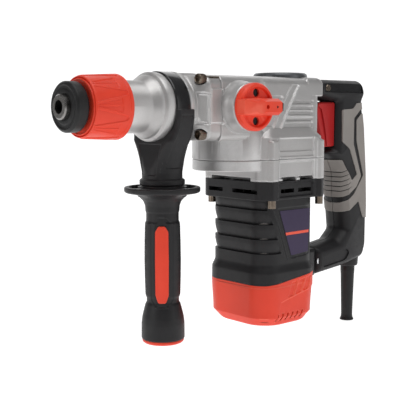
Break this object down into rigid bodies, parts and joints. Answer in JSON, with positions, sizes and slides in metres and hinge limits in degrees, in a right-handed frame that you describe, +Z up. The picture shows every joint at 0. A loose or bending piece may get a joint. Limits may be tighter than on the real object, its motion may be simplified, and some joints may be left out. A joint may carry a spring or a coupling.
{
  "type": "rotary hammer",
  "caption": "Rotary hammer with a quick chuck, barrel-mounted side handle, mode selector knob, upright motor and a rear D-handle with a trigger.",
  "frame": {"origin": "on the spindle axis, level with the front face of the dust cap", "axes": "+X along the spindle to the rear, +Z up, selector knob towards -Y"},
  "size_m": [0.335, 0.1025, 0.2351],
  "materials": {
    "hardened_steel": "dark hardened steel, fine turned finish",
    "machined_steel": "machined steel",
    "bright_steel": "ground and polished steel",
    "spring_steel": "drawn spring wire",
    "gear_steel": "case-hardened gear steel, oiled",
    "piston_alloy": "machined aluminium alloy",
    "matt_rubber": "matt black rubber",
    "red_plastic": "orange-red nylon, fine satin grain",
    "trigger_red": "deep red nylon, smooth",
    "silver_paint": "satin silver paint on cast aluminium",
    "grey_cap": "dark grey painted metal",
    "screw_steel": "bronze-tinted plated steel",
    "gloss_black": "glossy black",
    "black_plastic": "charcoal-black glass-filled nylon, fine grain",
    "grey_rubber": "soft warm-grey overmould",
    "label": "printed label, navy-purple",
    "copper": "enamelled copper",
    "brass": "stamped brass",
    "carbon": "pressed carbon",
    "laminations": "stacked steel laminations, varnished"
  },
  "bodies": {
    "housing": {"barrel": "silver_paint", "barrel_screws": "screw_steel", "oil_seal": "matt_rubber", "spindle_bearings": "bright_steel", "gear_housing": "silver_paint", "gear_base": "silver_paint", "shaft_bearings": "bright_steel", "crank_cap": "grey_cap", "motor_bearings": "bright_steel", "stator": "laminations", "field_coils": "copper", "brush_holders": "brass", "carbon_brushes": "carbon", "fan_housing": "black_plastic", "motor_housing": "black_plastic", "motor_cap": "red_plastic", "housing_screws": "screw_steel", "label_plate": "label", "handle_bellows": "matt_rubber"},
    "spindle": {"tool_holder": "hardened_steel", "hammer_tube": "machined_steel", "dust_cap": "matt_rubber", "locking_balls": "bright_steel", "sleeve_spring": "spring_steel", "spindle_gear": "gear_steel", "bolt_guide": "machined_steel"},
    "sleeve": {"locking_sleeve": "red_plastic", "lock_ring": "machined_steel"},
    "shifter": {"shift_sleeve": "gear_steel"},
    "fork": {"shift_fork": "machined_steel"},
    "knob": {"mode_knob": "red_plastic"},
    "button": {"lock_button": "gloss_black"},
    "bolt": {"impact_bolt": "hardened_steel"},
    "striker": {"ram": "hardened_steel"},
    "piston_rod": {"piston": "piston_alloy", "wrist_pin": "bright_steel", "connecting_rod": "piston_alloy", "crank_pin": "bright_steel"},
    "crank": {"crankshaft": "machined_steel", "crank_gear": "gear_steel"},
    "intermediate_shaft": {"layshaft": "gear_steel", "layshaft_gear": "gear_steel"},
    "armature": {"armature_shaft": "machined_steel", "armature_core": "laminations", "commutator": "copper", "cooling_fan": "black_plastic"},
    "side_clamp": {"clamp_band": "gloss_black", "clamp_saddle": "black_plastic"},
    "side_handle": {"side_grip": "black_plastic", "grip_inlays": "red_plastic", "grip_end_cap": "red_plastic"},
    "rear_handle": {"handle_left": "black_plastic", "handle_right": "black_plastic", "handle_screws": "screw_steel", "grip_panels": "grey_rubber", "handle_pivot_pin": "bright_steel", "trigger_switch": "black_plastic", "trigger_spring": "spring_steel", "cord_relief": "matt_rubber"},
    "trigger": {"trigger": "trigger_red"}
  },
  "joints": [
    {"name": "layshaft_spin", "type": "hinge", "parent": "housing", "child": "intermediate_shaft", "pos_m": [0.165, 0, -0.038], "axis": [0, 0, 1], "continuous": true},
    {"name": "armature_spin", "type": "hinge", "parent": "housing", "child": "armature", "pos_m": [0.201, 0, -0.11], "axis": [0, 0, 1], "continuous": true},
    {"name": "crank_spin", "type": "hinge", "parent": "housing", "child": "crank", "pos_m": [0.2217, 0, -0.03], "axis": [0, 0, 1], "continuous": true},
    {"name": "spindle_spin", "type": "hinge", "parent": "housing", "child": "spindle", "pos_m": [0.09, 0, 0], "axis": [1, 0, 0], "continuous": true},
    {"name": "sleeve_pull", "type": "slide", "parent": "spindle", "child": "sleeve", "axis": [1, 0, 0], "range_m": [0, 0.006], "stiffness_N_per_m": 1800, "springref_m": -0.004, "deforming": ["sleeve_spring"]},
    {"name": "shift_sleeve_slide", "type": "slide", "parent": "spindle", "child": "shifter", "axis": [1, 0, 0], "range_m": [-0.0025, 0.0025]},
    {"name": "shift_fork_slide", "type": "slide", "parent": "housing", "child": "fork", "axis": [1, 0, 0], "range_m": [-0.0025, 0.0025]},
    {"name": "mode_knob_turn", "type": "hinge", "parent": "housing", "child": "knob", "pos_m": [0.143, -0.05, 0], "axis": [0, 1, 0], "range_deg": [-90, 90]},
    {"name": "lock_button_press", "type": "slide", "parent": "knob", "child": "button", "axis": [-1, 0, 0], "range_m": [0, 0.0025], "stiffness_N_per_m": 900, "springref_m": -0.001},
    {"name": "impact_bolt_slide", "type": "slide", "parent": "spindle", "child": "bolt", "axis": [1, 0, 0], "range_m": [0, 0.0035]},
    {"name": "ram_slide", "type": "slide", "parent": "spindle", "child": "striker", "axis": [1, 0, 0], "range_m": [-0.002, 0.004]},
    {"name": "piston_slide", "type": "slide", "parent": "housing", "child": "piston_rod", "axis": [1, 0, 0], "range_m": [-0.017, 0]},
    {"name": "side_handle_swivel", "type": "hinge", "parent": "housing", "child": "side_clamp", "pos_m": [0.0895, 0, 0], "axis": [1, 0, 0], "continuous": true},
    {"name": "side_grip_turn", "type": "hinge", "parent": "side_clamp", "child": "side_handle", "pos_m": [0.0895, 0, -0.1], "axis": [0, 0, 1], "range_deg": [-360, 0]},
    {"name": "rear_handle_swing", "type": "hinge", "parent": "housing", "child": "rear_handle", "pos_m": [0.262, 0, -0.14], "axis": [0, -1, 0], "range_deg": [0, 1.4], "stiffness_Nm_per_rad": 90, "springref_deg": -1.15, "deforming": ["handle_bellows"]},
    {"name": "trigger_press", "type": "slide", "parent": "rear_handle", "child": "trigger", "axis": [1, 0, 0], "range_m": [0, 0.007], "stiffness_N_per_m": 900, "springref_m": -0.003, "deforming": ["trigger_spring"]}
  ],
  "couplings": [
    {"joint": "armature_spin", "follows": "layshaft_spin", "ratio": -5.6667},
    {"joint": "crank_spin", "follows": "layshaft_spin", "ratio": 2},
    {"joint": "spindle_spin", "follows": "layshaft_spin", "ratio": -0.33333},
    {"joint": "shift_fork_slide", "follows": "mode_knob_turn", "m_per_rad": 0.0015915},
    {"joint": "shift_sleeve_slide", "follows": "mode_knob_turn", "m_per_rad": 0.0015915}
  ]
}
